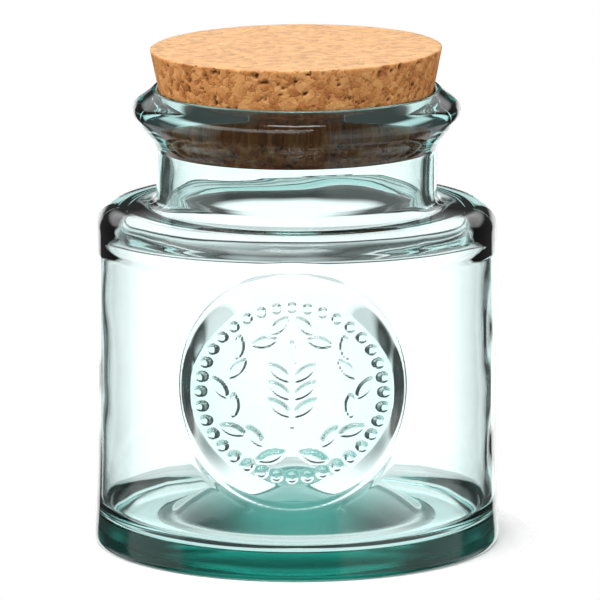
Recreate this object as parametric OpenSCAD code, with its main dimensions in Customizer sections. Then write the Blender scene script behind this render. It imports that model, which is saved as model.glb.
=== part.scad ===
// Round storage canister: a thick glass jar with a raised seal, closed by a tapered cork stopper.
// Millimetres, +Z up, origin at the centre of the foot, on the surface the jar stands on.
// The seal is on the jar's front, which faces -Y.

/* [Body] */
// Outer diameter of the straight part of the body
body_d = 114; // [106:0.5:150]
// Height of the shoulder at its outer edge
shoulder_h = 97.6; // [92:0.1:140]
// Rounding outside, between the body and the shoulder
shoulder_r = 6; // [5:0.5:8]
// Rounding inside, between the wall and the underside of the shoulder
shoulder_in_r = 10; // [4:0.5:12]
// How much the shoulder rises from its outer edge to the neck
shoulder_rise = 0.6; // [0:0.1:2]
// Wall thickness of the body and the shoulder
wall = 2.4; // [2:0.1:4.8]
// How far the foot stands out from the body, on the radius
foot_out = 1.1; // [0.6:0.1:2.5]
// Height at which the flare towards the foot starts
flare_h = 48; // [12:1:60]

/* [Base] */
// Thickness of the floor around its hump
floor_t = 7; // [5:0.1:12]
// Rounding inside, between the floor and the wall
floor_r = 6; // [3:0.5:14]
// Diameter of the hump in the middle of the floor
hump_d = 72; // [40:1:80]
// Height of the hump above the floor around it
hump_h = 13; // [10:0.5:18]
// Diameter of the hollow under the foot
punt_d = 80; // [50:1:88]
// Thickness of the glass at the top of the hump
hump_t = 12; // [6:0.5:14]
// Rounding under the edge of the foot
foot_r = 1.6; // [0.8:0.1:2.4]

/* [Mouth] */
// Inner diameter of the mouth at its rim
mouth_d = 79.5; // [60:0.5:85]
// Depth of the tapered seat in the mouth
seat_h = 18; // [12:0.5:21]
// Height of the neck, from the shoulder's edge to the underside of the lip
neck_h = 15.4; // [10:0.1:22]
// Wall thickness of the neck
neck_wall = 3.8; // [2.8:0.1:4.8]
// Rounding between the shoulder and the neck
neck_r = 3; // [1:0.1:3.6]
// How far the lip stands out from the neck, on the radius
lip_out = 6.8; // [5:0.1:9]
// Height of the sloping underside of the lip
lip_slope_h = 11.7; // [8:0.1:14]
// Height of the rounded top of the lip
lip_round_h = 6.7; // [6:0.1:9]
// Rounding of the mouth's inner edge
mouth_r = 1; // [0.4:0.1:1.4]

/* [Stopper] */
// How much the stopper and its seat widen, on the radius, for each millimetre of height
taper = 0.2; // [0.08:0.01:0.25]
// Height of the whole stopper
stopper_h = 28.4; // [20:0.1:36]
// Height of the part of the stopper that stands above the rim
stopper_proud = 11.5; // [6:0.1:16]
// Gap between the stopper and its seat, on the radius
seat_gap = 0.3; // [0.2:0.05:0.6]
// Chamfer on the stopper's edges
stopper_chamfer = 0.5; // [0.2:0.1:1.5]

/* [Seal] */
// Height of the seal's centre
seal_z = 54.6; // [48:0.1:56]
// Diameter of the seal where it meets the body
seal_d = 69; // [50:0.5:72]
// Width of the slope around the seal's face
seal_bevel = 3.5; // [1.5:0.1:5]
// How far the middle of the seal's face stands out from the body
seal_out = 0.6; // [0.3:0.1:2.5]
// Radius of the seal's face, which is flatter than the body
seal_face_r = 100; // [80:1:300]
// How far the beads and the sprig stand out from the face
relief = 0.4; // [0.2:0.1:1]
// Number of beads around the face
bead_count = 36; // [12:1:40]
// Diameter of each bead
bead_d = 2.6; // [1.4:0.1:3.2]
// Number of pairs of leaves on the sprig
leaf_pairs = 4; // [2:1:5]
// Length of the lowest leaves
leaf_len = 16; // [10:0.5:18]
// Width of the leaves as a share of their length
leaf_share = 0.3; // [0.2:0.01:0.45]
// Length of the stem
stem_len = 34; // [26:0.5:38]
// Width of the stem
stem_w = 1.6; // [1:0.1:2.5]

/* [Hidden] */
$fn = 96;

curve_steps = 7;                      // straight steps in each rounded stretch of an outline
lip_neck_turn = 0.19;                 // share of the slope's height over which the neck turns into it
lip_edge_turn = 0.13;                 // share of it over which the slope turns into the lip's edge
lip_top_slope = 36;                   // angle of the lip's sloping top from level
lip_nose = 1.8;                       // how far in from the lip's edge its sloping top ends
leaf_tilt = 50;                       // angle between the stem and a leaf
leaf_shrink = 0.09;                   // how much shorter each pair is than the lowest, as a share
bead_inset = 1.2;                     // distance from the face's edge to the beads, in bead diameters

body_r = body_d / 2;
heel_r = body_r + foot_out;
heel_h = foot_r * 1.5;                // height at which the foot is widest
inner_r = body_r - wall;
hump_r = hump_d / 2;
punt_r = punt_d / 2;
punt_h = floor_t + hump_h - hump_t;   // depth of the hollow under the foot

rim_h = shoulder_h + neck_h + lip_slope_h + lip_round_h;
lip_h = rim_h - lip_round_h;          // height at which the lip is widest
mouth_rad = mouth_d / 2;
bore_r = mouth_rad - taper * seat_h;  // inside of the neck, below the seat
neck_out_r = bore_r + neck_wall;
lip_rad = neck_out_r + lip_out;
neck_top = shoulder_h + neck_h;
neck_bottom = shoulder_h + shoulder_rise;
roof_h = shoulder_h - wall;           // underside of the shoulder
throat_r = min(neck_r + neck_wall, inner_r - shoulder_in_r - bore_r); // rounding inside, under the neck

// Ends of the two bends that make the lip's sloping underside, which meet halfway between them.
lip_low = [neck_out_r, neck_top + lip_slope_h * lip_neck_turn];
lip_edge = [lip_rad, lip_h - lip_slope_h * lip_edge_turn];
lip_mid = (lip_low + lip_edge) / 2;

stopper_top = rim_h + stopper_proud;
stopper_bottom = stopper_top - stopper_h;

face_d = seal_d - 2 * seal_bevel;
face_y = -(body_r + seal_out);        // foremost line of the seal's face

// Points on an arc of radius r about centre, from angle a0 to angle a1.
function arc(centre, r, a0, a1) =
    [for (i = [0 : curve_steps]) let (a = a0 + (a1 - a0) * i / curve_steps) centre + r * [cos(a), sin(a)]];

// Points on a bend that leaves a towards corner and arrives at b from it.
function bend(a, corner, b) =
    [for (i = [0 : curve_steps]) let (t = i / curve_steps)
        a * (1 - t) * (1 - t) + corner * 2 * t * (1 - t) + b * t * t];

// Points on a dome that is rise high in the middle and ends at radius r and height z.
function dome(r, z, rise) =
    [for (i = [0 : curve_steps]) let (t = i / curve_steps) [r * t, z + rise * (1 - t * t)]];

function reversed(points) = [for (i = [len(points) - 1 : -1 : 0]) points[i]];

// Radius of the tapered seat at height z.
function seat_rad(z) = mouth_rad - taper * (rim_h - z);

// Height of the lip's sloping top at radius r.
function lip_top(r) = rim_h - (r - mouth_rad - mouth_r) * tan(lip_top_slope);

// Outside of the glass, from the middle of the hollow under the foot up to the rim.
function outside() = concat(
    dome(punt_r, 0, punt_h),
    bend([heel_r - foot_r, 0], [heel_r, 0], [heel_r, heel_h]),
    bend([heel_r, heel_h + 1], [body_r, (heel_h + flare_h) / 3], [body_r, flare_h]),
    arc([body_r - shoulder_r, shoulder_h - shoulder_r], shoulder_r, 0, 90),
    bend([neck_out_r + neck_r, neck_bottom], [neck_out_r, neck_bottom], [neck_out_r, neck_bottom + neck_r]),
    bend([neck_out_r, neck_top], lip_low, lip_mid),
    bend(lip_mid, lip_edge, [lip_rad, lip_h]),
    bend([lip_rad, lip_h], [lip_rad, lip_top(lip_rad)], [lip_rad - lip_nose, lip_top(lip_rad - lip_nose)]),
    [[mouth_rad + mouth_r, rim_h]]
);

// Inside of the glass, from the rim down to the middle of the floor.
function inside() = concat(
    bend([mouth_rad + mouth_r, rim_h], [seat_rad(rim_h), rim_h], [seat_rad(rim_h - mouth_r), rim_h - mouth_r]),
    [[bore_r, rim_h - seat_h]],
    bend([bore_r, roof_h + throat_r], [bore_r, roof_h], [bore_r + throat_r, roof_h]),
    reversed(arc([inner_r - shoulder_in_r, roof_h - shoulder_in_r], shoulder_in_r, 0, 90)),
    reversed(arc([inner_r - floor_r, floor_t + floor_r], floor_r, -90, 0)),
    reversed(dome(hump_r, floor_t, hump_h))
);

// A leaf that starts at the origin and points along +Y: where two equal circles overlap.
module leaf(length, width) {
    bow = (length * length + width * width) / (4 * width);
    intersection_for (side = [-1, 1])
        translate([side * (bow - width / 2), length / 2]) circle(bow);
}

// A plain sprig with its leaves in pairs and one at the tip, drawn flat with +Y up.
module sprig() {
    step = stem_len / (leaf_pairs + 1);
    translate([-stem_w / 2, -stem_len / 2]) square([stem_w, stem_len]);
    translate([0, stem_len / 2 - step / 2]) leaf(leaf_len * 0.7, leaf_len * leaf_share);
    for (i = [0 : leaf_pairs - 1], side = [-1, 1]) {
        length = leaf_len * (1 - leaf_shrink * i);
        translate([0, step * (i + 0.6) - stem_len / 2])
            rotate(-side * leaf_tilt) leaf(length, length * leaf_share);
    }
}

// The ring of beads around the face, drawn flat.
module beads() {
    for (i = [0 : bead_count - 1])
        rotate(360 * i / bead_count) translate([face_d / 2 - bead_inset * bead_d, 0]) circle(d = bead_d);
}

// An upright cylinder that stands for a face of radius seal_face_r, with its front at y.
module face_block(y) {
    translate([0, y + seal_face_r, seal_z - seal_d]) cylinder(r = seal_face_r, h = 2 * seal_d, $fn = 192);
}

// The raised round seal: a sloping edge, a face flatter than the body, and its beads and sprig.
module seal() {
    depth = body_r - inner_r / 2;     // reaches well into the glass, and is trimmed by the hollow
    intersection() {
        face_block(face_y);
        translate([0, face_y + depth, seal_z]) rotate([90, 0, 0])
            cylinder(d1 = seal_d, d2 = face_d, h = depth);
    }
    intersection() {
        face_block(face_y - relief);
        translate([0, face_y + depth, seal_z]) rotate([90, 0, 0]) linear_extrude(depth + relief) {
            sprig();
            beads();
        }
    }
}

module glass_jar() {
    color([0.80, 0.93, 0.89, 0.5]) difference() {
        union() {
            rotate_extrude() polygon(concat(outside(), [[0, rim_h]]));
            seal();
        }
        rotate_extrude() polygon(concat([[0, rim_h + 1], [mouth_rad + mouth_r, rim_h + 1]], inside()));
    }
}

module cork_stopper() {
    color([0.85, 0.66, 0.46]) rotate_extrude() polygon([
        [0, stopper_bottom],
        [seat_rad(stopper_bottom) - seat_gap - stopper_chamfer, stopper_bottom],
        [seat_rad(stopper_bottom + stopper_chamfer) - seat_gap, stopper_bottom + stopper_chamfer],
        [seat_rad(stopper_top - stopper_chamfer) - seat_gap, stopper_top - stopper_chamfer],
        [seat_rad(stopper_top) - seat_gap - stopper_chamfer, stopper_top],
        [0, stopper_top],
    ]);
}

glass_jar();
cork_stopper();
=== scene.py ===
"""A lidded canister: a jar of thick pale green glass with a raised seal, and its pressed cork stopper."""

import logging
import math
from collections.abc import Callable, Sequence
from dataclasses import dataclass, field
from enum import Enum

import bpy
import numpy as np
from mathutils import Matrix, Vector, noise


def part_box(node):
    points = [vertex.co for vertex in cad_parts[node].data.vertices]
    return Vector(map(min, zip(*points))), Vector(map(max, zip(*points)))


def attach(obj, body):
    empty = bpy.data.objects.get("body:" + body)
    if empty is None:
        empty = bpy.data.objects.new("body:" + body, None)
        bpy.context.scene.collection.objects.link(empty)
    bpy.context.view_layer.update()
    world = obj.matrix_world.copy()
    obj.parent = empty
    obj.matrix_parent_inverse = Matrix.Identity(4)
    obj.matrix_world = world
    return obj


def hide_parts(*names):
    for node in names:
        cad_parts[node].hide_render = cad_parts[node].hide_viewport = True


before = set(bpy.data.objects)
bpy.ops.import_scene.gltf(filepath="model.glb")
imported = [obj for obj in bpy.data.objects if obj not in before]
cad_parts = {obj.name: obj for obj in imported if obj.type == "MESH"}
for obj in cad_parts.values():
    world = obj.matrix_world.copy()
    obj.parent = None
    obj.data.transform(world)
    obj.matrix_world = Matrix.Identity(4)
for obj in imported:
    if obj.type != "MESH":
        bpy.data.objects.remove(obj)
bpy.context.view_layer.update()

MM = 0.001                      # metres in a millimetre; sizes below are in millimetres
JAR_NODE = "glass_jar"
CORK_NODE = "cork_stopper"
BEND_STEPS = 24                 # straight steps in a rounded stretch of an outline
OUTLINE_SAMPLES = 6000          # places at which an outline's spacing is worked out
SAME_PLACE = 1e-6               # closer points than this are one point
FAR = 99.0                      # farther than anything on the seal

log = logging.getLogger("canister")

Colour = tuple[float, float, float]
Point = tuple[float, float]


class Sum(Enum):
    """What a Math node works out."""

    ADD = "ADD"
    SUBTRACT = "SUBTRACT"
    MULTIPLY = "MULTIPLY"
    DIVIDE = "DIVIDE"
    POWER = "POWER"
    LARGER = "MAXIMUM"
    SMALLER = "MINIMUM"
    ABSOLUTE = "ABSOLUTE"
    ARCSINE = "ARCSINE"
    ARCTAN2 = "ARCTAN2"


class Blend(Enum):
    """How a mix puts its second colour on its first."""

    COVER = "MIX"
    TINT = "MULTIPLY"


class End(Enum):
    """Which end of a surface a fan of triangles closes."""

    FIRST = "first ring"
    LAST = "last ring"


# ---------------------------------------------------------------- shader sheets

class Wire:
    """One output of a shader node, which can be used in a Python expression."""

    def __init__(self, sheet: "ShaderSheet", socket: bpy.types.NodeSocket) -> None:
        """Wraps a socket.

        Args:
            sheet: The node sheet that holds the socket's node.
            socket: The output socket to wrap.
        """
        self.sheet = sheet
        self.socket = socket

    def _math(self, operation: Sum, *values: "Wire | float") -> "Wire":
        """Adds a Math node for one operation and returns its result."""
        return self.sheet.node("ShaderNodeMath", {"operation": operation.value}, dict(enumerate(values)))

    def __add__(self, other: "Wire | float") -> "Wire":
        """self + other."""
        return self._math(Sum.ADD, self, other)

    def __radd__(self, other: float) -> "Wire":
        """other + self."""
        return self._math(Sum.ADD, other, self)

    def __sub__(self, other: "Wire | float") -> "Wire":
        """self - other."""
        return self._math(Sum.SUBTRACT, self, other)

    def __rsub__(self, other: float) -> "Wire":
        """other - self."""
        return self._math(Sum.SUBTRACT, other, self)

    def __mul__(self, other: "Wire | float") -> "Wire":
        """self * other."""
        return self._math(Sum.MULTIPLY, self, other)

    def __rmul__(self, other: float) -> "Wire":
        """other * self."""
        return self._math(Sum.MULTIPLY, other, self)

    def __truediv__(self, other: "Wire | float") -> "Wire":
        """self / other."""
        return self._math(Sum.DIVIDE, self, other)

    def __pow__(self, other: float) -> "Wire":
        """self ** other."""
        return self._math(Sum.POWER, self, other)

    def larger(self, other: "Wire | float") -> "Wire":
        """The larger of the two values."""
        return self._math(Sum.LARGER, self, other)

    def smaller(self, other: "Wire | float") -> "Wire":
        """The smaller of the two values."""
        return self._math(Sum.SMALLER, self, other)

    def absolute(self) -> "Wire":
        """The value without its sign."""
        return self._math(Sum.ABSOLUTE, self)

    def arcsine(self) -> "Wire":
        """The angle in radians whose sine is the value."""
        return self._math(Sum.ARCSINE, self)

    def arctan2(self, ahead: "Wire") -> "Wire":
        """The angle in radians from straight ahead, where the value is the distance to the side."""
        return self._math(Sum.ARCTAN2, self, ahead)

    def smooth(self, low: float, high: float) -> "Wire":
        """A smooth step.

        Args:
            low: The value at which the step starts.
            high: The value at which it ends. It may be below low for a falling step.

        Returns:
            A value from 0 to 1.
        """
        falling = high < low
        step = self.sheet.node(
            "ShaderNodeMapRange",
            {"interpolation_type": "SMOOTHSTEP"},
            {"Value": self, "From Min": min(low, high), "From Max": max(low, high)},
        )
        return 1.0 - step if falling else step


@dataclass(frozen=True)
class Grain:
    """A layer of shader noise."""

    per_m: float                    # bumps to a metre
    detail: float
    rough: float


class ShaderSheet:
    """A node tree with one way to add any node."""

    def __init__(self, tree: bpy.types.NodeTree) -> None:
        """Empties the tree and keeps it.

        Args:
            tree: The node tree of a material or a world.
        """
        self.tree = tree
        tree.nodes.clear()

    def add(self, kind: str, settings: dict, inputs: dict) -> bpy.types.Node:
        """Adds one node.

        Args:
            kind: The node's type name.
            settings: Properties to set first. "stops" holds a ramp's (position, colour) pairs.
            inputs: Values or wires by socket name or number.

        Returns:
            The new node.
        """
        node = self.tree.nodes.new(kind)
        for name, value in settings.items():
            if name == "stops":
                self._set_stops(node.color_ramp, value)
            else:
                setattr(node, name, value)
        for key, value in inputs.items():
            socket = node.inputs[key]
            if isinstance(value, Wire):
                self.tree.links.new(value.socket, socket)
            elif isinstance(value, tuple) and socket.type == "RGBA" and len(value) == 3:
                socket.default_value = (*value, 1.0)
            else:
                socket.default_value = value
        return node

    def node(self, kind: str, settings: dict, inputs: dict, output: str | int = 0) -> Wire:
        """Adds one node and returns one of its outputs.

        Args:
            kind: The node's type name.
            settings: Properties to set first.
            inputs: Values or wires by socket name or number.
            output: The name or number of the wanted output.

        Returns:
            The output as a wire.
        """
        return Wire(self, self.add(kind, settings, inputs).outputs[output])

    @staticmethod
    def _set_stops(ramp: bpy.types.ColorRamp, stops: Sequence[tuple[float, Colour]]) -> None:
        """Gives a colour ramp its stops.

        Args:
            ramp: The ramp to fill.
            stops: Positions from 0 to 1, each with its colour.
        """
        while len(ramp.elements) < len(stops):
            ramp.elements.new(1.0)
        for element, (position, colour) in zip(ramp.elements, stops):
            element.position = position
            element.color = (*colour, 1.0)

    def mix(self, factor: Wire | float, first: Wire | Colour, second: Wire | Colour,
            blend: Blend = Blend.COVER) -> Wire:
        """Mixes two colours.

        Args:
            factor: How much of the second colour, from 0 to 1.
            first: The first colour.
            second: The second colour.
            blend: How the second colour is put on the first.

        Returns:
            The mixed colour.
        """
        settings = {"data_type": "RGBA", "blend_type": blend.value, "clamp_result": False}
        return self.node("ShaderNodeMix", settings, {0: factor, 6: first, 7: second}, 2)

    def scaled(self, vector: Wire, scale: tuple[float, float, float]) -> Wire:
        """A vector multiplied by a scale on each axis."""
        return self.node("ShaderNodeVectorMath", {"operation": "MULTIPLY"}, {0: vector, 1: scale})

    def split(self, vector: Wire) -> tuple[Wire, Wire, Wire]:
        """The x, y and z of a vector."""
        parts = self.add("ShaderNodeSeparateXYZ", {}, {"Vector": vector})
        return tuple(Wire(self, parts.outputs[i]) for i in range(3))

    def noise(self, vector: Wire, grain: Grain, output: str = "Fac") -> Wire:
        """Adds noise.

        Args:
            vector: Where each place lies in the noise.
            grain: Its bumps, detail and roughness.
            output: "Fac" for a value from 0 to 1, or "Color" for three of them.

        Returns:
            The noise.
        """
        inputs = {"Vector": vector, "Scale": grain.per_m, "Detail": grain.detail, "Roughness": grain.rough}
        return self.node("ShaderNodeTexNoise", {}, inputs, output)


def new_material(name: str) -> tuple[bpy.types.Material, ShaderSheet]:
    """Makes an empty node material.

    Args:
        name: The material's name.

    Returns:
        The material and its node sheet.
    """
    material = bpy.data.materials.new(name)
    material.use_nodes = True
    return material, ShaderSheet(material.node_tree)


# ---------------------------------------------------------------- finishes

@dataclass(frozen=True)
class RecycledGlass:
    """Clear recycled glass: nearly colourless where thin and teal where thick."""

    ior: float = 1.52
    absorption_per_m: Colour = (33.0, 7.4, 9.6)
    density_margin: float = 1.1     # density as a multiple of the strongest absorption
    stipple: float = 0.28           # roughness of the pressed hollow under the foot
    worn: float = 0.12              # roughness of the ring that the jar stands on
    hollow_mm: float = 40.0         # radius of the hollow
    hollow_rise_mm: float = 9.0     # a height just over its middle
    hollow_fade_mm: float = 0.6     # height over the hollow at which the stipple has gone
    hollow_rim_mm: float = 0.4      # the same height counted from the level of the foot
    hollow_edge: Point = (1.05, 0.98)   # squared shares of its radius where the stipple starts and is full
    ring_mm: Point = (0.5, 0.3)     # heights at which the worn ring starts and is full
    heel_mm: float = 56.5           # radius at which the worn ring ends
    heel_fade_mm: float = 1.0
    ripple_mm: float = 0.02
    ripples: Grain = Grain(60.0, 2.0, 0.5)

    def build(self) -> bpy.types.Material:
        """Makes the material.

        Returns:
            The glass.
        """
        material, sheet = new_material("recycled_glass")
        density = max(self.absorption_per_m) * self.density_margin
        place = sheet.node("ShaderNodeTexCoord", {}, {}, "Object")
        bump = sheet.node("ShaderNodeBump", {}, {
            "Strength": 1.0, "Distance": self.ripple_mm * MM, "Height": sheet.noise(place, self.ripples)})
        surface = sheet.node("ShaderNodeBsdfPrincipled", {}, {
            "Base Color": (1.0, 1.0, 1.0),
            "Roughness": self.under_foot(sheet, place),
            "IOR": self.ior,
            "Transmission Weight": 1.0,
            "Normal": bump,
        })
        kept = tuple(1.0 - a / density for a in self.absorption_per_m)
        volume = sheet.node("ShaderNodeVolumeAbsorption", {}, {"Color": kept, "Density": density})
        sheet.add("ShaderNodeOutputMaterial", {}, {"Surface": surface, "Volume": volume})
        return material

    def under_foot(self, sheet: ShaderSheet, place: Wire) -> Wire:
        """Roughness of the glass, which is polished everywhere but under the foot.

        Args:
            sheet: The node sheet to add to.
            place: Each place on the glass, in metres.

        Returns:
            The roughness.
        """
        x, y, z = sheet.split(place)
        radius = (x * x + y * y) ** 0.5
        share = (radius / (self.hollow_mm * MM)) ** 2.0
        over = (z - (1.0 - share) * (self.hollow_rise_mm * MM)).smaller(z - self.hollow_rim_mm * MM)
        hollow = over.smooth(self.hollow_fade_mm * MM, 0.0) * share.smooth(*self.hollow_edge)
        ring = z.smooth(*(edge * MM for edge in self.ring_mm))
        ring = ring * radius.smooth(self.heel_mm * MM, (self.heel_mm - self.heel_fade_mm) * MM)
        return (hollow * self.stipple).larger(ring * self.worn)


@dataclass(frozen=True)
class PressedCork:
    """Cork granules pressed into one piece, with dark bark specks and painted shade in its open pores."""

    light: Colour = (0.80, 0.41, 0.155)
    middle: Colour = (0.60, 0.25, 0.08)
    dark: Colour = (0.30, 0.10, 0.03)
    tone_stops: tuple[float, float, float] = (0.10, 0.40, 0.78)     # tones of dark, middle and light
    # painted shade: the dark colour painted into the pits' hollows
    painted_pit_shade: Colour = (0.05, 0.014, 0.006)
    face: Colour = (0.86, 0.68, 0.45)
    face_share: float = 0.34        # of the face's colour in the flat top
    rim_shade_tint: Colour = (0.66, 0.40, 0.28)   # painted shade: tint that darkens the stretch wedged in the mouth
    granules_per_m: float = 430.0
    granule_share: float = 0.42     # weights of what the tone is made of
    cloud_share: float = 0.75
    grit_share: float = 0.35
    tone_drop: float = 0.30
    grit: Grain = Grain(1500.0, 4.0, 0.7)
    cloud: Grain = Grain(300.0, 4.0, 0.65)
    wander: Grain = Grain(520.0, 3.0, 0.6)
    wander_mm: float = 2.6
    specks: Grain = Grain(760.0, 3.0, 0.6)
    speck_edge: Point = (0.60, 0.72)
    speck_share: float = 0.8
    speck_lost: float = 0.6         # share of the specks that the flat top lacks
    seam_edge: Point = (0.10, 0.0)  # distances from a granule's edge
    seam_cloud: Point = (0.55, 0.40)
    seam_share: float = 0.7
    rim_mm: float = 131.0           # height at which the painted shade on the wedged stretch starts
    rim_fade_mm: float = 2.5
    streaks: Grain = Grain(700.0, 2.0, 0.5)
    streak_stretch: tuple[float, float, float] = (1.0, 1.0, 0.12)
    streak_edge: Point = (0.45, 0.75)
    streak_share: float = 0.5
    bump_mm: float = 0.3
    bump_strength: float = 0.8
    bump_grit: float = 0.6
    bump_seam: float = 0.4
    bump_seam_edge: Point = (0.0, 0.15)
    roughness: float = 0.80
    roughness_grit: float = 0.15
    ior: float = 1.4
    specular: float = 0.25

    def build(self) -> bpy.types.Material:
        """Makes the material.

        Returns:
            The cork.
        """
        material, sheet = new_material("pressed_cork")
        place = sheet.node("ShaderNodeTexCoord", {}, {}, "Object")
        bent = self.bent(sheet, place)
        inputs = {"Vector": bent, "Scale": self.granules_per_m, "Randomness": 1.0}
        cells = sheet.node("ShaderNodeTexVoronoi", {"feature": "F1"}, inputs, "Color")
        seams = sheet.node("ShaderNodeTexVoronoi", {"feature": "DISTANCE_TO_EDGE"}, inputs, "Distance")
        grit = sheet.noise(place, self.grit)
        cloud = sheet.noise(bent, self.cloud)
        tone = sheet.node("ShaderNodeSeparateColor", {}, {"Color": cells}, 0)
        tone = tone * self.granule_share + cloud * self.cloud_share + grit * self.grit_share - self.tone_drop
        stops = tuple(zip(self.tone_stops, (self.dark, self.middle, self.light)))
        colour = sheet.node("ShaderNodeValToRGB", {"stops": stops}, {"Fac": tone}, "Color")
        colour = self.marked(sheet, colour, bent, cloud, seams)
        # painted shade on the stretch wedged in the mouth
        colour = self.paint_rim_shade(sheet, colour, place)
        # painted shade in the pits, read from the stopper's pit values
        pit = sheet.node("ShaderNodeAttribute", {"attribute_name": "pit"}, {}, "Fac")
        uneven = grit * self.bump_grit + cloud + seams.smooth(*self.bump_seam_edge) * self.bump_seam
        bump = sheet.node("ShaderNodeBump", {}, {
            "Strength": self.bump_strength, "Distance": self.bump_mm * MM, "Height": uneven})
        surface = sheet.node("ShaderNodeBsdfPrincipled", {}, {
            "Base Color": sheet.mix(pit, colour, self.painted_pit_shade),
            "Roughness": self.roughness + grit * self.roughness_grit,
            "IOR": self.ior,
            "Specular IOR Level": self.specular,
            "Normal": bump,
        })
        sheet.add("ShaderNodeOutputMaterial", {}, {"Surface": surface})
        return material

    def bent(self, sheet: ShaderSheet, place: Wire) -> Wire:
        """Moves places about a little, so that the granules' outlines aren't straight.

        Args:
            sheet: The node sheet to add to.
            place: Each place on the cork, in metres.

        Returns:
            The moved places.
        """
        wander = sheet.noise(place, self.wander, "Color")
        centred = sheet.node("ShaderNodeVectorMath", {"operation": "SUBTRACT"}, {
            0: wander, 1: (0.5, 0.5, 0.5)})
        shift = sheet.scaled(centred, (self.wander_mm * MM,) * 3)
        return sheet.node("ShaderNodeVectorMath", {"operation": "ADD"}, {0: place, 1: shift})

    def marked(self, sheet: ShaderSheet, colour: Wire, bent: Wire, cloud: Wire, seams: Wire) -> Wire:
        """Adds the dark specks and seams between granules, and makes the flat top paler.

        Args:
            sheet: The node sheet to add to.
            colour: The granules' colour.
            bent: Each place, moved about a little.
            cloud: Broad noise from 0 to 1.
            seams: Distance from each granule's edge.

        Returns:
            The new colour.
        """
        top = sheet.node("ShaderNodeAttribute", {"attribute_name": "top"}, {}, "Fac")
        speck = sheet.noise(bent, self.specks).smooth(*self.speck_edge)
        colour = sheet.mix(speck * (1.0 - top * self.speck_lost) * self.speck_share, colour, self.dark)
        seam = seams.smooth(*self.seam_edge) * cloud.smooth(*self.seam_cloud)
        colour = sheet.mix(seam * self.seam_share, colour, self.dark)
        return sheet.mix(top * self.face_share, colour, self.face)

    def paint_rim_shade(self, sheet: ShaderSheet, colour: Wire, place: Wire) -> Wire:
        """Paints shade onto the stretch that is wedged in the mouth, in upright streaks.

        Args:
            sheet: The node sheet to add to.
            colour: The cork's colour.
            place: Each place on the cork, in metres.

        Returns:
            The new colour.
        """
        height = sheet.split(place)[2]
        low = height.smooth(self.rim_mm * MM, (self.rim_mm - self.rim_fade_mm) * MM)
        streak = sheet.noise(sheet.scaled(place, self.streak_stretch), self.streaks)
        # painted shade: the cork's colour tinted darker and redder where it sits in the mouth
        dark = sheet.mix(1.0, colour, self.rim_shade_tint, Blend.TINT)
        return sheet.mix(low * (1.0 - streak.smooth(*self.streak_edge) * self.streak_share), colour, dark)


@dataclass(frozen=True)
class PalePaper:
    """The pale floor, which thins out to nothing before its edge."""

    colour: Colour = (0.97, 0.97, 0.97)
    mottled: Colour = (0.85, 0.85, 0.85)
    mottle_share: float = 0.02
    mottle: Grain = Grain(40.0, 2.0, 0.5)
    roughness: float = 0.5
    solid_mm: float = 57.0
    gone_mm: float = 73.0

    def build(self) -> bpy.types.Material:
        """Makes the material.

        Returns:
            The paper.
        """
        material, sheet = new_material("pale_floor")
        place = sheet.node("ShaderNodeTexCoord", {}, {}, "Object")
        reach = sheet.node("ShaderNodeVectorMath", {"operation": "LENGTH"}, {0: place}, "Value")
        colour = sheet.mix(sheet.noise(place, self.mottle) * self.mottle_share, self.colour, self.mottled)
        paper = sheet.node("ShaderNodeBsdfDiffuse", {}, {"Color": colour, "Roughness": self.roughness})
        clear = sheet.node("ShaderNodeBsdfTransparent", {}, {"Color": (1.0, 1.0, 1.0)})
        gone = reach.smooth(self.solid_mm * MM, self.gone_mm * MM)
        surface = sheet.node("ShaderNodeMixShader", {}, {0: gone, 1: paper, 2: clear})
        sheet.add("ShaderNodeOutputMaterial", {}, {"Surface": surface})
        return material


# ---------------------------------------------------------------- outlines and meshes

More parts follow.
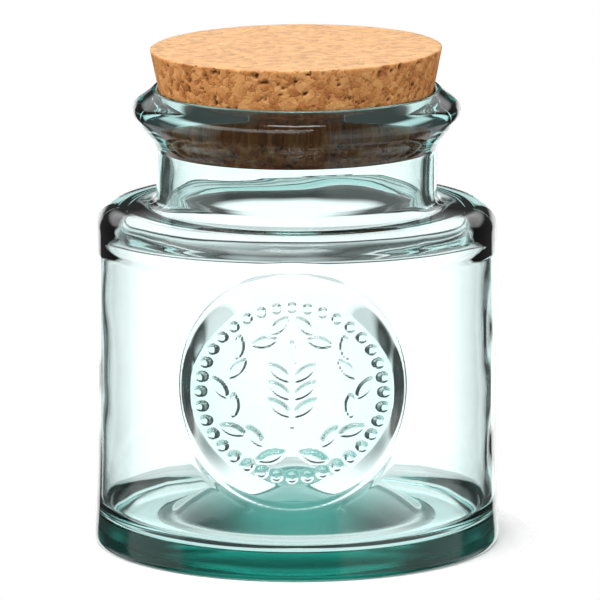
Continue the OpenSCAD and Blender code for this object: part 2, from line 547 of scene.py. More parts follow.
class Outline:
    """A profile of radius and height in millimetres, drawn point by point."""

    def __init__(self, start: Point) -> None:
        """Starts the outline.

        Args:
            start: The first point's radius and height.
        """
        self.points: list[Point] = [start]

    def line(self, end: Point, steps: int = 1) -> "Outline":
        """Draws a straight stretch.

        Args:
            end: Where it ends.
            steps: The number of points it adds.

        Returns:
            The outline itself.
        """
        start = self.points[-1]
        for i in range(1, steps + 1):
            t = i / steps
            self.points.append((start[0] + (end[0] - start[0]) * t, start[1] + (end[1] - start[1]) * t))
        return self

    def bend(self, corner: Point, end: Point, steps: int = BEND_STEPS) -> "Outline":
        """Draws a bend that leaves towards a corner and arrives at its end from it.

        Args:
            corner: The corner that the bend rounds off.
            end: Where it ends.
            steps: The number of points it adds.

        Returns:
            The outline itself.
        """
        start = self.points[-1]
        for i in range(1, steps + 1):
            t = i / steps
            a, b, c = (1 - t) ** 2, 2 * t * (1 - t), t * t
            self.points.append(tuple(a * start[k] + b * corner[k] + c * end[k] for k in (0, 1)))
        return self

    def arc(self, centre: Point, radius: float, first: float, last: float) -> "Outline":
        """Draws an arc, joined to what came before by a line.

        Args:
            centre: Its centre.
            radius: Its radius.
            first: The angle at which it starts, in degrees from straight outward.
            last: The angle at which it ends.

        Returns:
            The outline itself.
        """
        for i in range(BEND_STEPS + 1):
            angle = math.radians(first + (last - first) * i / BEND_STEPS)
            self.points.append((centre[0] + radius * math.cos(angle), centre[1] + radius * math.sin(angle)))
        return self

    def dome(self, radius: float, height: float, rise: float) -> "Outline":
        """Draws a dome from its edge to the axis, or from the axis to its edge if it starts there.

        Args:
            radius: The radius of its edge.
            height: The height of its edge.
            rise: How much higher its middle is.

        Returns:
            The outline itself.
        """
        outward = self.points[-1][0] < radius / 2
        for i in range(1, BEND_STEPS + 1):
            t = i / BEND_STEPS if outward else 1 - i / BEND_STEPS
            self.points.append((radius * t, height + rise * (1 - t * t)))
        return self

    def spaced(self, gap: Callable[[float, float], float]) -> np.ndarray:
        """Spreads points along the outline.

        Args:
            gap: Gives the wanted distance between points at a radius and height.

        Returns:
            An array of (radius, height) rows from the first point to the last.
        """
        points = np.array(self.points)
        steps = np.hypot(*np.diff(points, axis=0).T)
        points = points[np.concatenate([[True], steps > SAME_PLACE])]
        length = np.concatenate([[0.0], np.cumsum(np.hypot(*np.diff(points, axis=0).T))])
        fine = np.linspace(0.0, length[-1], OUTLINE_SAMPLES)
        r = np.interp(fine, length, points[:, 0])
        z = np.interp(fine, length, points[:, 1])
        density = np.array([1.0 / gap(a, b) for a, b in zip(r, z)])
        count = np.concatenate([[0.0], np.cumsum((density[1:] + density[:-1]) / 2 * np.diff(fine))])
        wanted = np.linspace(0.0, count[-1], int(round(count[-1])) + 1)
        places = np.interp(wanted, count, fine)
        return np.column_stack([np.interp(places, length, points[:, 0]),
                                np.interp(places, length, points[:, 1])])


@dataclass
class Skin:
    """Vertices and faces of a surface that is being put together."""

    points: list[np.ndarray] = field(default_factory=list)
    faces: list[tuple[int, ...]] = field(default_factory=list)
    count: int = 0

    def ring(self, points: np.ndarray) -> np.ndarray:
        """Adds a ring of points.

        Args:
            points: Places in millimetres, one row each.

        Returns:
            The points' numbers.
        """
        numbers = np.arange(self.count, self.count + len(points))
        self.points.append(points)
        self.count += len(points)
        return numbers

    def rings(self, points: np.ndarray, columns: int) -> list[np.ndarray]:
        """Adds one ring after another, each with the given number of points."""
        return [self.ring(points[k:k + columns]) for k in range(0, len(points), columns)]

    def join(self, rings: list[np.ndarray]) -> None:
        """Joins each ring to the next with four-sided faces.

        Args:
            rings: Numbers of the points of rings that all have the same number of points.
        """
        for lower, upper in zip(rings, rings[1:]):
            n = len(lower)
            for i in range(n):
                j = (i + 1) % n
                self.faces.append((int(lower[i]), int(lower[j]), int(upper[j]), int(upper[i])))

    def stitch(self, lower: np.ndarray, lower_angles: np.ndarray,
               upper: np.ndarray, upper_angles: np.ndarray) -> None:
        """Joins two rings that have different numbers of points with triangles.

        Args:
            lower: Numbers of the first ring's points.
            lower_angles: Their angles, rising from 0 to just under a full turn.
            upper: Numbers of the second ring's points.
            upper_angles: Their angles, likewise.
        """
        i = j = 0
        n, m = len(lower), len(upper)
        turn = 2 * math.pi
        while i < n or j < m:
            next_low = lower_angles[(i + 1) % n] + (turn if i + 1 >= n else 0.0)
            next_up = upper_angles[(j + 1) % m] + (turn if j + 1 >= m else 0.0)
            if j >= m or (i < n and next_low <= next_up):
                self.faces.append((int(lower[i % n]), int(lower[(i + 1) % n]), int(upper[j % m])))
                i += 1
            else:
                self.faces.append((int(lower[i % n]), int(upper[(j + 1) % m]), int(upper[j % m])))
                j += 1

    def fan(self, ring: np.ndarray, centre: np.ndarray, end: End) -> None:
        """Closes a ring with triangles to one point.

        Args:
            ring: Numbers of the ring's points.
            centre: The point at the middle.
            end: Which end of the surface the ring is.
        """
        middle = int(self.ring(centre.reshape(1, 3))[0])
        n = len(ring)
        for i in range(n):
            a, b = int(ring[i]), int(ring[(i + 1) % n])
            self.faces.append((middle, b, a) if end is End.FIRST else (middle, a, b))

    def mesh(self, name: str) -> bpy.types.Object:
        """Makes a smooth shaded object in metres.

        Args:
            name: The object's name.

        Returns:
            The object, linked to the scene.
        """
        mesh = bpy.data.meshes.new(name)
        mesh.from_pydata((np.vstack(self.points) * MM).tolist(), [], self.faces)
        mesh.validate()
        mesh.polygons.foreach_set("use_smooth", [True] * len(mesh.polygons))
        mesh.update()
        piece = bpy.data.objects.new(name, mesh)
        bpy.context.scene.collection.objects.link(piece)
        return piece


@dataclass(frozen=True)
class Wave:
    """Smooth unevenness in a surface."""

    widths: tuple[float, float, float]      # of a bump along x, y and z
    seed: float                             # moves the pattern, so that two surfaces differ
    high: float                             # the largest value

    def at(self, points: np.ndarray) -> np.ndarray:
        """Works out the unevenness.

        Args:
            points: Places in millimetres, one row each.

        Returns:
            One value for each place, above or below 0.
        """
        x, y, z = self.widths
        places = (Vector((p[0] / x + self.seed, p[1] / y, p[2] / z)) for p in points)
        return self.high * np.array([noise.noise(place) for place in places])


def smooth_step(value: np.ndarray, low: float, high: float) -> np.ndarray:
    """A smooth rise from 0 at low to 1 at high, or a fall if high is below low."""
    t = np.clip((value - low) / (high - low), 0.0, 1.0)
    return t * t * (3 - 2 * t)


def around(r: np.ndarray, angle: np.ndarray, z: np.ndarray) -> np.ndarray:
    """Points in the frame from radius, angle from the front and height."""
    return np.column_stack([r * np.sin(angle), -r * np.cos(angle), z])


def spread(rows: np.ndarray, angles: np.ndarray) -> tuple[np.ndarray, np.ndarray, np.ndarray]:
    """Spreads an outline round the axis.

    Args:
        rows: The outline's (radius, height) rows.
        angles: The angle of each column of points.

    Returns:
        The radius, angle and height of every point, one row of the outline after another.
    """
    n = len(angles)
    return np.repeat(rows[:, 0], n), np.tile(angles, len(rows)), np.repeat(rows[:, 1], n)


def either_side(angles: np.ndarray) -> np.ndarray:
    """The same angles counted from half a turn on the left to half a turn on the right."""
    return (angles + math.pi) % (2 * math.pi) - math.pi


# ---------------------------------------------------------------- the jar

@dataclass(frozen=True)
class SealDesign:
    """The raised round seal: its slope, its flatter face, and beads, a wreath and a sprig in relief."""

    height: float = 54.6            # of the seal's centre above the foot
    outer: float = 33.8             # radius at which the slope meets the body
    inner: float = 26.3             # radius at which the slope meets the face
    slope_soft: float = 0.12        # how much of the slope is rounded rather than straight
    rise: float = 1.05              # how far the middle of the face stands out
    face_radius: float = 300.0      # radius of the face, which is flatter than the body
    halo: float = 35.6              # radius of the fine line around the seal
    halo_high: float = 0.12
    halo_wide: float = 0.55
    ridge: float = 33.2             # radius of the narrow ridge at the foot of the slope
    ridge_high: float = 0.35
    ridge_wide: float = 0.5
    relief: float = 0.9
    edge: float = 0.30              # width of the rounded edge of what stands in relief
    beads: int = 36
    bead_size: float = 1.3
    bead_ring: float = 24.2
    wreath_ring: float = 17.4
    wreath_leaves: int = 9          # on each side
    wreath_leaf: Point = (7.2, 2.8)
    wreath_low: float = 172.0       # angles from the top at which the lowest and highest leaves start
    wreath_high: float = 20.0
    wreath_lean: float = 26.0       # how far the leaves turn in and out by turns
    sprig_leaf: Point = (8.5, 2.9)
    sprig_pairs: int = 3
    sprig_low: float = 2.5          # height of the lowest pair over the foot of the stem
    sprig_step: float = 5.0
    sprig_tilt: float = 52.0
    stem: float = 19.0
    stem_half_width: float = 0.65
    stem_short: float = 2.0         # how far the stem ends below the top
    tip_low: float = 3.0            # how far the top leaf starts below it
    inside_edge: Point = (3.0, 8.0)     # how far out and in the hollow behind the seal fades

    def leaf(self, u: np.ndarray, v: np.ndarray, foot: Point, angle: float, size: Point) -> np.ndarray:
        """How far each place lies outside a leaf.

        Args:
            u: Places across the seal, in millimetres.
            v: Places up the seal.
            foot: Where the leaf starts.
            angle: The way it points, in degrees from straight up, positive to the right.
            size: Its length and width.

        Returns:
            Distances, negative inside the leaf.
        """
        length, width = size
        bow = (length * length + width * width) / (4 * width)
        a = math.radians(angle)
        along = (u - foot[0]) * math.sin(a) + (v - foot[1]) * math.cos(a) - length / 2
        across = (u - foot[0]) * math.cos(a) - (v - foot[1]) * math.sin(a)
        return np.hypot(np.abs(across) + (bow - width / 2), along) - bow

    def stroke(self, u: np.ndarray, v: np.ndarray, start: Point, end: Point, half: float) -> np.ndarray:
        """How far each place lies outside a straight stroke with round ends.

        Args:
            u: Places across the seal, in millimetres.
            v: Places up the seal.
            start: Where the stroke starts.
            end: Where it ends.
            half: Half its width.

        Returns:
            Distances, negative inside the stroke.
        """
        du, dv = end[0] - start[0], end[1] - start[1]
        t = np.clip(((u - start[0]) * du + (v - start[1]) * dv) / (du * du + dv * dv), 0.0, 1.0)
        return np.hypot(u - start[0] - t * du, v - start[1] - t * dv) - half

    def drawing(self, u: np.ndarray, v: np.ndarray) -> np.ndarray:
        """How far each place lies outside everything that stands in relief.

        Args:
            u: Places across the seal, in millimetres.
            v: Places up the seal.

        Returns:
            Distances, negative inside a bead, a leaf or the stem.
        """
        best = np.full(u.shape, FAR)
        for i in range(self.beads):
            a = 2 * math.pi * i / self.beads
            centre = (self.bead_ring * math.sin(a), self.bead_ring * math.cos(a))
            best = np.minimum(best, np.hypot(u - centre[0], v - centre[1]) - self.bead_size)
        half = self.stem / 2
        stem_end = (0, half - self.stem_short)
        best = np.minimum(best, self.stroke(u, v, (0, -half), stem_end, self.stem_half_width))
        best = np.minimum(best, self.leaf(u, v, (0, half - self.tip_low), 0, self.sprig_leaf))
        for side in (-1, 1):
            for i in range(self.sprig_pairs):
                foot = (0.0, -half + self.sprig_low + self.sprig_step * i)
                best = np.minimum(best, self.leaf(u, v, foot, side * self.sprig_tilt, self.sprig_leaf))
            for i in range(self.wreath_leaves):
                climb = (self.wreath_low - self.wreath_high) * i / (self.wreath_leaves - 1)
                a = math.radians(self.wreath_low - climb) * side
                foot = (self.wreath_ring * math.sin(a), self.wreath_ring * math.cos(a))
                lean = self.wreath_lean if i % 2 else -self.wreath_lean
                angle = math.degrees(a) - side * (90 + lean)
                best = np.minimum(best, self.leaf(u, v, foot, angle, self.wreath_leaf))
        return best

    def face(self, angle: np.ndarray, body: float) -> np.ndarray:
        """How far the flatter face stands out from the body.

        Args:
            angle: Angles from the front, in radians.
            body: The body's radius.

        Returns:
            Distances in millimetres.
        """
        back = self.face_radius - body - self.rise
        reach = np.sqrt(self.face_radius ** 2 - (back * np.sin(angle)) ** 2)
        return reach - back * np.cos(angle) - body

    def raised(self, angle: np.ndarray, z: np.ndarray, body: float) -> np.ndarray:
        """How far the outside of the glass stands out from the body.

        Args:
            angle: Angles from the front, in radians.
            z: Heights in millimetres.
            body: The body's radius.

        Returns:
            Distances in millimetres, 0 away from the seal.
        """
        u, v = body * angle, z - self.height
        rho = np.hypot(u, v)
        kept = angle * np.minimum(1.0, self.inner / np.maximum(rho, 1.0))
        straight = np.clip((self.outer - rho) / (self.outer - self.inner), 0.0, 1.0)
        rounded = smooth_step(straight, 0.0, 1.0)
        slope = self.slope_soft * rounded + (1.0 - self.slope_soft) * straight
        lines = self.halo_high * np.exp(-((rho - self.halo) / self.halo_wide) ** 2)
        lines += self.ridge_high * np.exp(-((rho - self.ridge) / self.ridge_wide) ** 2)
        near = rho < self.outer
        drawn = np.zeros_like(u)
        drawn[near] = self.relief * smooth_step(self.drawing(u[near], v[near]), self.edge, -self.edge)
        return slope * self.face(kept, body) + lines + drawn

    def hollowed(self, angle: np.ndarray, z: np.ndarray, body: float, share: float) -> np.ndarray:
        """How far the inside of the glass follows the seal outward.

        Args:
            angle: Angles from the front, in radians.
            z: Heights in millimetres.
            body: The body's radius.
            share: How much of the face's height it follows.

        Returns:
            Distances in millimetres, 0 away from the seal.
        """
        rho = np.hypot(body * angle, z - self.height)
        out, back = self.inside_edge
        return share * self.face(angle, body) * smooth_step(rho, self.outer + out, self.inner - back)


@dataclass
class GlassJar:
    """The jar, moulded in one piece: foot, body, shoulder, neck, lip and seal."""

    body: float = 57.0              # radii and heights in millimetres
    heel: float = 58.1
    heel_height: float = 2.4
    foot_round: float = 1.6
    flare: float = 48.0             # height at which the flare to the heel starts
    shoulder: float = 97.6
    shoulder_round: float = 6.0
    shoulder_inside: float = 10.0   # rounding under the shoulder, inside
    shoulder_rise: float = 0.6
    wall: float = 2.4
    floor: float = 7.0
    floor_round: float = 6.0
    hump: float = 36.0
    hump_rise: float = 13.0
    punt: float = 40.0
    punt_rise: float = 8.0
    neck: float = 39.95
    neck_round: float = 3.0
    neck_top: float = 113.0
    bore: float = 36.15
    throat_round: float = 6.8
    throat_sag: float = 0.15        # how far the bend under the neck ends below the shoulder's underside
    roof_angle: float = 84.0        # angle from straight outward at which the inside's rounding starts
    lip: float = 46.75
    lip_low: float = 115.2          # heights at which the lip's underside leaves the neck and meets the edge
    lip_edge: float = 123.2
    lip_height: float = 124.7
    lip_slope: float = 36.0         # angle of the lip's top from level
    lip_nose: float = 1.8
    mouth: float = 39.75
    mouth_round: float = 1.0
    seat: float = 18.0
    taper: float = 0.2
    seal: SealDesign = field(default_factory=SealDesign)
    seal_low: float = 10.0          # nothing of the seal is below this height
    seal_margin: float = 2.0        # width of the fine mesh around the seal
    seal_follow: float = 0.05       # how much of the seal the inside follows
    near_wall: float = 0.5          # how close to the wall's radius counts as on it
    thinner_front: float = 1.9      # how much thinner the front's shoulder is than the back's
    front_edge: Point = (-0.2, 0.5)     # cosines of the angles at which that starts and is full
    fine_gap: float = 0.51          # spacing of the mesh at the seal, outside, in the hollow and inside
    outer_gap: float = 0.9
    punt_gap: float = 2.6
    inner_gap: float = 1.2
    side_columns: int = 22
    back_columns: int = 74
    inner_columns: int = 160
    seam_columns: tuple[float, ...] = (-1.1, -0.6, -0.3, 0.0, 0.3, 0.6, 1.1)    # degrees from the seam
    seam_high: float = 0.1
    seam_wide: float = 0.35
    seam_start: Point = (1.0, 4.0)  # heights at which the seam starts and is full
    wave_outside: Wave = Wave((16.0, 16.0, 16.0), 3.0, 0.05)
    wave_start: Point = (2.0, 12.0)     # heights at which the outside's unevenness starts and is full
    wave_broad: Wave = Wave((26.0, 26.0, 26.0), 11.0, 0.24)
    wave_fine: Wave = Wave((11.0, 11.0, 11.0), 29.0, 0.05)
    wave_below: float = 6.0         # how far below the seat the inside's unevenness is full
    finish: RecycledGlass = field(default_factory=RecycledGlass)

    def __post_init__(self) -> None:
        """Takes the rim's height from the frame."""
        self.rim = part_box(JAR_NODE)[1].z / MM

    def outside(self) -> Outline:
        """Draws the outside, from the middle of the hollow under the foot up to the rim.

        Returns:
            The outline.
        """
        foot_top = self.shoulder + self.shoulder_rise
        middle = ((self.neck + self.lip) / 2, (self.lip_low + self.lip_edge) / 2)
        return (
            Outline((0.0, self.punt_rise))
            .dome(self.punt, 0.0, self.punt_rise)
            .line((self.heel - self.foot_round, 0.0), 4)
            .bend((self.heel, 0.0), (self.heel, self.heel_height))
            .line((self.heel, self.heel_height + 1))
            .bend((self.body, (self.heel_height + self.flare) / 3), (self.body, self.flare))
            .arc((self.body - self.shoulder_round, self.shoulder - self.shoulder_round),
                 self.shoulder_round, 0, 90)
            .line((self.neck + self.neck_round, foot_top))
            .bend((self.neck, foot_top), (self.neck, foot_top + self.neck_round))
            .line((self.neck, self.neck_top))
            .bend((self.neck, self.lip_low), middle)
            .bend((self.lip, self.lip_edge), (self.lip, self.lip_height))
            .bend((self.lip, self.lip_top(self.lip)),
                  (self.lip - self.lip_nose, self.lip_top(self.lip - self.lip_nose)))
            .line((self.mouth + self.mouth_round, self.rim))
        )

    def lip_top(self, radius: float) -> float:
        """Height of the lip's sloping top at a radius."""
        return self.rim - (radius - self.mouth - self.mouth_round) * math.tan(math.radians(self.lip_slope))

    def inside(self) -> Outline:
        """Draws the inside, from the rim down to the middle of the floor.

        Returns:
            The outline.
        """
        inner = self.body - self.wall
        under = self.shoulder - self.wall
        return (
            Outline((self.mouth + self.mouth_round, self.rim))
            .bend((self.mouth, self.rim),
                  (self.mouth - self.taper * self.mouth_round, self.rim - self.mouth_round))
            .line((self.bore, self.rim - self.seat))
            .line((self.bore, under + self.throat_round))
            .bend((self.bore, under), (self.bore + self.throat_round, under - self.throat_sag))
            .arc((inner - self.shoulder_inside, under - self.shoulder_inside),
                 self.shoulder_inside, self.roof_angle, 0)
            .arc((inner - self.floor_round, self.floor + self.floor_round), self.floor_round, 0, -90)
            .line((self.hump, self.floor))
            .dome(self.hump, self.floor, self.hump_rise)
        )

    def columns(self) -> np.ndarray:
        """Places the outside's columns of points, close together at the seal and the seams.

        Returns:
            Their angles, counted from the front in radians.
        """
        fine_end = (self.seal.halo + self.seal_margin) / self.body
        fine = np.linspace(-fine_end, fine_end, int(2 * fine_end * self.body / self.fine_gap))
        seam = math.pi / 2 + np.radians(self.seam_columns)
        side = np.linspace(fine_end, seam[0], self.side_columns)[1:-1]
        back = np.linspace(seam[-1], 2 * math.pi - seam[-1], self.back_columns)[1:-1]
        left = (2 * math.pi - seam[::-1], 2 * math.pi - side[::-1])
        return np.concatenate([fine, side, seam, back, *left])

    def outer_spacing(self, r: float, z: float) -> float:
        """Spaces the rows outside.

        Args:
            r: A radius on the outline.
            z: Its height.

        Returns:
            The wanted distance to the next row.
        """
        reach = self.seal.halo + self.seal_margin
        if r > self.body - 1 and self.seal.height - reach < z < self.seal.height + reach:
            return self.fine_gap
        return self.punt_gap if r < self.punt and z < self.punt_rise else self.outer_gap

    def outer_places(self, angles: np.ndarray) -> np.ndarray:
        """Places the outside's points, with the seal, the mould's seams and a slight unevenness.

        Args:
            angles: The columns' angles, in radians.

        Returns:
            Places in millimetres, one row of the outline after another.
        """
        r, a, z = spread(self.outside().spaced(self.outer_spacing)[1:], either_side(angles))
        on_body = (r > self.body - self.near_wall) & (z > self.seal_low)
        stand = np.zeros_like(r)
        stand[on_body] = self.seal.raised(a[on_body], z[on_body], self.body)
        seam = self.seam_high * np.exp(-((np.abs(a) - math.pi / 2) * self.body / self.seam_wide) ** 2)
        stand += seam * smooth_step(z, *self.seam_start)
        wave = self.wave_outside.at(around(r + stand, a, z)) * smooth_step(z, *self.wave_start)
        return around(r + stand + wave, a, z)

    def inner_places(self, angles: np.ndarray) -> np.ndarray:
        """Places the inside's points, wavy below the seat and thinner at the front of the shoulder.

        Args:
            angles: The columns' angles, in radians.

        Returns:
            Places in millimetres, one row of the outline after another.
        """
        rows = self.inside().spaced(lambda r, z: self.inner_gap)[1:-1]
        r, a, z = spread(rows, either_side(angles))
        on_wall = (r > self.body - self.wall - self.near_wall) & (z > self.floor)
        follow = np.zeros_like(r)
        follow[on_wall] = self.seal.hollowed(a[on_wall], z[on_wall], self.body, self.seal_follow)
        smooth = around(r, a, z)
        seat_end = self.rim - self.seat
        free = smooth_step(z, seat_end, seat_end - self.wave_below)
        wave = (self.wave_broad.at(smooth) + self.wave_fine.at(smooth)) * free
        corner_r = self.body - self.wall - self.shoulder_inside
        corner_z = self.shoulder - self.wall - self.shoulder_inside
        turn = np.arctan2(z - corner_z, r - corner_r)
        thin = self.thinner_front * smooth_step(np.cos(a), *self.front_edge) * np.sin(2 * turn)
        thin *= (r > corner_r) & (z > corner_z) & (z < self.shoulder)
        return around(r + follow + wave + thin * np.cos(turn), a, z + thin * np.sin(turn))

    def skin(self) -> Skin:
        """Builds the whole closed surface.

        Returns:
            The surface, from the hollow under the foot over the rim to the floor.
        """
        skin = Skin()
        angles = self.columns()
        inner_angles = np.linspace(angles[0], angles[0] + 2 * math.pi, self.inner_columns + 1)[:-1]
        outer = skin.rings(self.outer_places(angles), len(angles))
        skin.fan(outer[0], np.array([0.0, 0.0, self.punt_rise]), End.FIRST)
        skin.join(outer)
        inner = skin.rings(self.inner_places(inner_angles), len(inner_angles))
        skin.stitch(outer[-1], angles - angles[0], inner[0], inner_angles - angles[0])
        skin.join(inner)
        skin.fan(inner[-1], np.array([0.0, 0.0, self.floor + self.hump_rise]), End.LAST)
        return skin

    def build(self) -> bpy.types.Object:
        """Builds, dresses and places the jar.

        Returns:
            The jar.
        """
        piece = self.skin().mesh("jar_of_glass")
        piece.data.materials.append(self.finish.build())
        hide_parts(JAR_NODE)
        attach(piece, "jar")
        log.info("%s: %d faces", piece.name, len(piece.data.polygons))
        return piece


# ---------------------------------------------------------------- the stopper

@dataclass
class CorkStopper:
    """The tapered stopper: one piece of pressed cork granules with open pores around its side."""

    columns: int = 520
    taper: float = 0.2
    lean: float = 0.6               # degrees, lower on the left
    edge: float = 0.5               # size of the rounded edges
    edge_in: float = 0.1            # how far the side's ends lie inside its widest and narrowest radii
    edge_steps: int = 4
    bottom_gap: float = 2.0         # spacing of the mesh
    side_gap: float = 0.5
    top_gap: float = 0.75
    flat: float = 0.01              # how close to its height counts as on the top or bottom
    coarse: Wave = Wave((1.7, 1.7, 1.3), 0.0, 0.65)
    fine: Wave = Wave((0.8, 0.8, 0.8), 9.0, 0.35)
    patches: Wave = Wave((9.0, 9.0, 7.0), 4.0, 0.22)
    pit_edge: Point = (0.26, 0.50)  # values of the unevenness at which a pit starts and is full
    pit_deep: float = 0.75
    dent_deep: float = 0.08         # of the shallow dents between the pits
    dent_start: float = 0.3
    top_dip: float = 0.05
    top_pit_deep: float = 0.22
    top_pit_edge: Point = (0.36, 0.6)
    top_rim: Point = (42.0, 40.0)   # radii at which the top's dents start and are full
    top_shade: float = 0.45         # darkness of the painted shade in the top's pits
    top_shade_edge: Point = (0.38, 0.55)
    finish: PressedCork = field(default_factory=PressedCork)

    def __post_init__(self) -> None:
        """Takes the stopper's size from the frame."""
        low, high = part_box(CORK_NODE)
        self.bottom, self.top = low.z / MM, high.z / MM
        self.top_radius = high.x / MM
        self.bottom_radius = self.top_radius - self.taper * (self.top - self.bottom)

    def outline(self) -> Outline:
        """Draws half of the stopper, from the middle of its bottom to the middle of its top.

        Returns:
            The outline.
        """
        return (
            Outline((0.0, self.bottom))
            .line((self.bottom_radius - self.edge, self.bottom))
            .bend((self.bottom_radius, self.bottom),
                  (self.bottom_radius + self.edge_in, self.bottom + self.edge), self.edge_steps)
            .line((self.top_radius - self.edge_in, self.top - self.edge))
            .bend((self.top_radius, self.top), (self.top_radius - self.edge, self.top), self.edge_steps)
            .line((0.0, self.top))
        )

    def spacing(self, r: float, z: float) -> float:
        """Spaces the rows.

        Args:
            r: A radius on the outline; not used.
            z: Its height.

        Returns:
            The wanted distance to the next row.
        """
        if z <= self.bottom + self.flat:
            return self.bottom_gap
        return self.side_gap if z < self.top - self.flat else self.top_gap

    def build(self) -> bpy.types.Object:
        """Builds, dresses and places the stopper.

        Returns:
            The stopper.
        """
        angles = np.linspace(0.0, 2 * math.pi, self.columns + 1)[:-1]
        r, a, z = spread(self.outline().spaced(self.spacing)[1:-1], angles)
        places = around(r, a, z)
        side = ((z > self.bottom + self.flat) & (z < self.top - self.flat)).astype(float)
        top = (z >= self.top - self.flat).astype(float)
        uneven = self.coarse.at(places) + self.fine.at(places) + self.patches.at(places)
        deep = smooth_step(uneven, *self.pit_edge)
        depth = side * (self.pit_deep * deep + self.dent_deep * np.clip(uneven + self.dent_start, 0, 1))
        places -= around(np.ones_like(a), a, np.zeros_like(a)) * depth[:, None]
        dip = self.top_dip + self.top_pit_deep * smooth_step(uneven, *self.top_pit_edge)
        places[:, 2] -= top * dip * smooth_step(r, *self.top_rim)
        skin = Skin()
        rings = skin.rings(self.leant(places), self.columns)
        skin.fan(rings[0], self.leant(np.array([[0.0, 0.0, self.bottom]])), End.FIRST)
        skin.join(rings)
        skin.fan(rings[-1], self.leant(np.array([[0.0, 0.0, self.top - self.top_dip]])), End.LAST)
        piece = skin.mesh("cork")
        # painted shade: how dark the colour is painted in the side's pits and the top's pits
        shade = side * deep + top * self.top_shade * smooth_step(uneven, *self.top_shade_edge)
        self.keep(piece, "pit", np.concatenate([shade, [0.0, 0.0]]))
        self.keep(piece, "top", np.concatenate([top, [0.0, 1.0]]))
        piece.data.materials.append(self.finish.build())
        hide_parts(CORK_NODE)
        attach(piece, "stopper")
        log.info("%s: %d faces", piece.name, len(piece.data.polygons))
        return piece

    def leant(self, points: np.ndarray) -> np.ndarray:
        """Turns points about the middle of the stopper by its slight lean.

        Args:
            points: Places in millimetres, one row each.

        Returns:
            The turned places.
        """
        middle = np.array([0.0, 0.0, (self.top + self.bottom) / 2])
        turn = np.array(Matrix.Rotation(math.radians(-self.lean), 3, "Y"))
        return (points - middle) @ turn.T + middle

    @staticmethod
    def keep(piece: bpy.types.Object, name: str, values: np.ndarray) -> None:
        """Stores one value for each vertex under a name that the finish reads."""
        layer = piece.data.attributes.new(name, "FLOAT", "POINT")
        layer.data.foreach_set("value", values.astype(np.float32))


# ---------------------------------------------------------------- the studio

@dataclass(frozen=True)
class Window:
    """A bright part of the surroundings between directions and heights in degrees."""

    middle: float
    half_width: float
    low: float
    high: float
    glow: float
    soft: float
    soft_high: float


@dataclass(frozen=True)
class Softbox:
    """A rectangular area lamp, with sizes in metres."""

    name: str
    place: Vector
    aim: Vector
    size: Point
    watts: float
    shows: bool = False             # whether the glass mirrors it


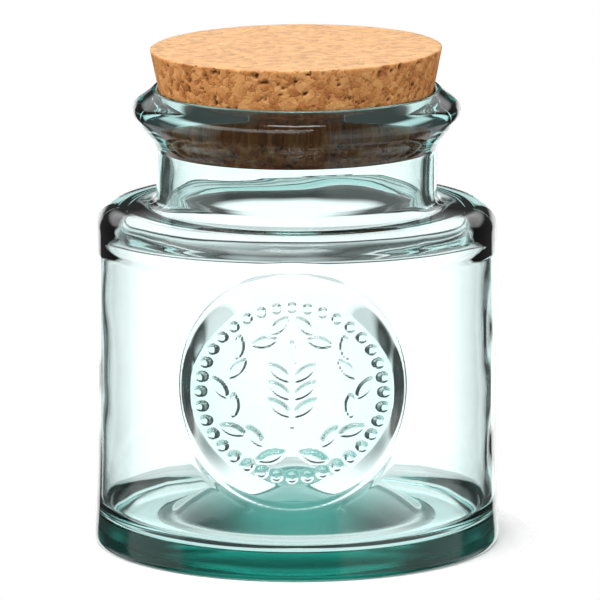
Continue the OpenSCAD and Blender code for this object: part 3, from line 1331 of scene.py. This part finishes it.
@dataclass
class Studio:
    """The camera, the floor, a bright sweep behind the jar in dark surroundings, and lamps for the cork."""

    distance: float = 2145.0        # from the jar's axis to the camera, over the floor
    camera_height: float = 492.0
    aim_height: float = 69.5
    aim_side: float = 1.0
    turn: float = 1.2               # degrees that the camera stands round from the front
    lens: float = 458.0
    sensor: float = 36.0
    view_m: float = 20.0            # how far the camera sees
    dark: float = 0.07
    windows: tuple[Window, ...] = (
        Window(0.5, 23.5, -24, 3, 1.40, 2.0, 5.0),
        Window(0, 42, 15, 48, 1.2, 4.0, 8.0),
        Window(0.5, 11, -34, -20, 0.90, 3.0, 5.0),
        Window(62, 28, -34, -20, 0.90, 4.0, 5.0),
        Window(-62, 28, -34, -20, 0.90, 4.0, 5.0),
        Window(92, 22, -34, 3, 0.75, 4.0, 5.0),
        Window(-112, 42, -34, 3, 0.70, 4.0, 5.0),
        Window(0, 46, -100, -30, 1.00, 8.0, 6.0),
        Window(135, 52, 22, 42, 3.0, 8.0, 5.0),
        Window(180, 55, 73, 82, 7.0, 3.0, 2.0),
    )
    lamps: tuple[Softbox, ...] = (
        Softbox("top_lamp", Vector((-0.1, -0.15, 1.1)), Vector((0, 0, 0.13)), (0.7, 0.7), 6.2),
        Softbox("left_lamp", Vector((-1.15, -0.7, 0.6)), Vector((0, 0, 0.12)), (0.5, 0.5), 10.0),
        Softbox("right_lamp", Vector((1.15, -0.7, 0.6)), Vector((0, 0, 0.12)), (0.5, 0.5), 9.5),
        Softbox("line_lamp", Vector((0.0, -0.9, 1.0)), Vector((0, 0, 0.12)), (0.55, 0.05), 0.9, True),
    )
    floor_radius: float = 150.0
    floor_height: float = -0.05     # just under the foot
    floor_rings: int = 20
    floor_columns: int = 96
    floor_inner: float = 0.05       # radius of the smallest ring, as a share
    paper: PalePaper = field(default_factory=PalePaper)

    def camera(self) -> bpy.types.Object:
        """Makes the camera and sets it as the scene's.

        Returns:
            The camera.
        """
        data = bpy.data.cameras.new("camera")
        data.lens = self.lens
        data.sensor_width = self.sensor
        data.clip_end = self.view_m
        eye = bpy.data.objects.new("camera", data)
        bpy.context.scene.collection.objects.link(eye)
        turned = Matrix.Rotation(math.radians(self.turn), 3, "Z")
        place = turned @ Vector((self.aim_side, -self.distance, self.camera_height)) * MM
        aim = turned @ Vector((self.aim_side, 0.0, self.aim_height)) * MM
        eye.location = place
        eye.rotation_euler = (aim - place).to_track_quat("-Z", "Y").to_euler()
        bpy.context.scene.camera = eye
        log.info("camera at %s", tuple(round(x, 3) for x in place))
        return eye

    def floor(self) -> bpy.types.Object:
        """Makes the pale floor, which the glass doesn't show.

        Returns:
            The floor.
        """
        skin = Skin()
        angles = np.linspace(0.0, 2 * math.pi, self.floor_columns + 1)[:-1]
        radii = self.floor_radius * np.linspace(self.floor_inner, 1.0, self.floor_rings)
        rows = np.column_stack([radii, np.full(self.floor_rings, self.floor_height)])
        rings = skin.rings(around(*spread(rows, angles)), self.floor_columns)
        skin.fan(rings[0], np.array([0.0, 0.0, self.floor_height]), End.LAST)
        for inner, outer in zip(rings, rings[1:]):
            skin.join([outer, inner])
        floor = skin.mesh("floor")
        floor.data.materials.append(self.paper.build())
        floor.visible_transmission = False
        floor.visible_glossy = False
        log.info("%s: %d faces", floor.name, len(floor.data.polygons))
        return floor

    def surroundings(self) -> bpy.types.World:
        """Makes the surroundings, which are plain white straight behind the object.

        Returns:
            The world.
        """
        world = bpy.data.worlds.new("studio")
        world.use_nodes = True
        sheet = ShaderSheet(world.node_tree)
        x, y, z = sheet.split(sheet.node("ShaderNodeTexCoord", {}, {}, "Generated"))
        rise = z.arcsine() * math.degrees(1.0)
        glow = self.dark
        for window in self.windows:
            a = math.radians(window.middle)
            side = y * -math.sin(a) - x * math.cos(a)
            ahead = y * math.cos(a) - x * math.sin(a)
            off = side.arctan2(ahead).absolute() * math.degrees(1.0)
            here = off.smooth(window.half_width + window.soft, window.half_width - window.soft)
            here = here * rise.smooth(window.high + window.soft_high, window.high - window.soft_high)
            here = here * rise.smooth(window.low - window.soft, window.low + window.soft)
            glow = (here * window.glow).larger(glow)
        straight = sheet.node("ShaderNodeLightPath", {}, {}, "Is Camera Ray")
        value = straight + (1.0 - straight) * glow
        back = sheet.node("ShaderNodeBackground", {}, {"Color": (1.0, 1.0, 1.0), "Strength": value})
        sheet.add("ShaderNodeOutputWorld", {}, {"Surface": back})
        bpy.context.scene.world = world
        log.info("%s: %d windows", world.name, len(self.windows))
        return world

    def light(self) -> None:
        """Places the lamps."""
        for lamp in self.lamps:
            data = bpy.data.lights.new(lamp.name, "AREA")
            data.shape = "RECTANGLE"
            data.size, data.size_y = lamp.size
            data.energy = lamp.watts
            box = bpy.data.objects.new(lamp.name, data)
            bpy.context.scene.collection.objects.link(box)
            box.location = lamp.place
            box.rotation_euler = (lamp.aim - lamp.place).to_track_quat("-Z", "Y").to_euler()
            box.visible_camera = False
            box.visible_transmission = False
            box.visible_glossy = lamp.shows
            log.info("%s: %.1f W", lamp.name, lamp.watts)


def set_view() -> None:
    """Shows plain colours, with white as white."""
    scene = bpy.context.scene
    scene.view_settings.view_transform = "Standard"
    scene.view_settings.look = "None"


def main() -> None:
    """Builds the studio and the object's two pieces."""
    logging.basicConfig(level=logging.INFO, format="%(name)s: %(message)s")
    studio = Studio()
    studio.camera()
    studio.floor()
    studio.surroundings()
    studio.light()
    GlassJar().build()
    CorkStopper().build()
    set_view()


if __name__ == "__main__":
    main()
